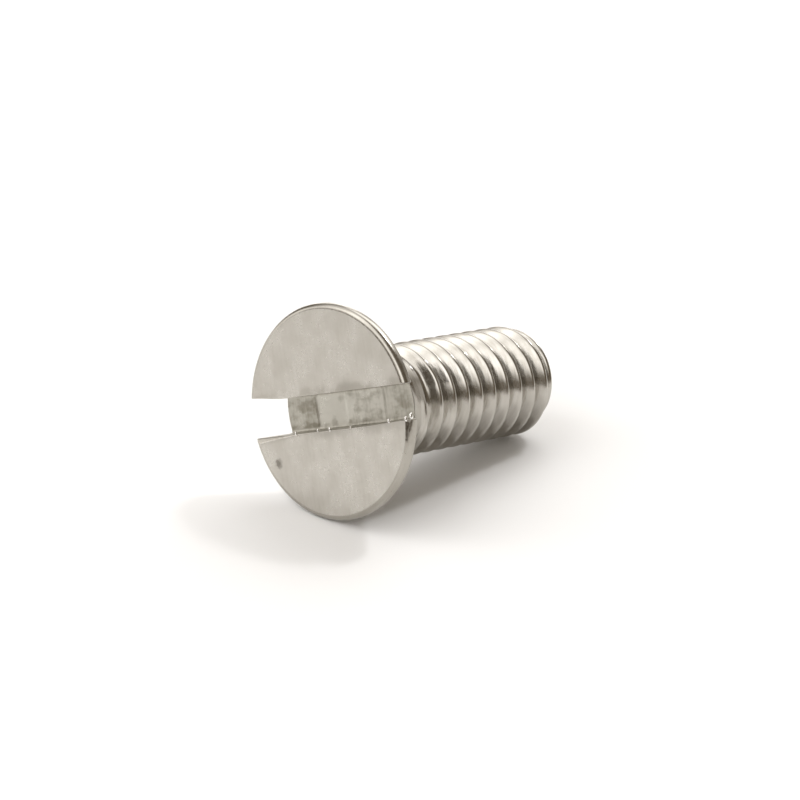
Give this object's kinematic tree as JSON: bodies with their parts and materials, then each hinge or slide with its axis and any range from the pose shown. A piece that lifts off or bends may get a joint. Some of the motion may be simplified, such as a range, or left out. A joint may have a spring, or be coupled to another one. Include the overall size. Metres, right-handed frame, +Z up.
{
  "type": "machine screw",
  "caption": "Slotted countersunk machine screw with a helical metric thread, a plain neck under the head and a chamfered point, lying on its side.",
  "frame": {"origin": "on the surface that the screw lies on, under the middle of its bounding box", "axes": "+Z up from that surface; +X level, along the screw's length from the head to the point, the screw's own axis sloping down by about 10.7 degrees; +Y completes the frame"},
  "size_m": [0.0108, 0.0074, 0.0073],
  "materials": {
    "screw": "bare stainless steel, satin on the face and brighter on the rolled thread"
  },
  "bodies": {
    "root": {"screw": "screw"}
  },
  "joints": []
}
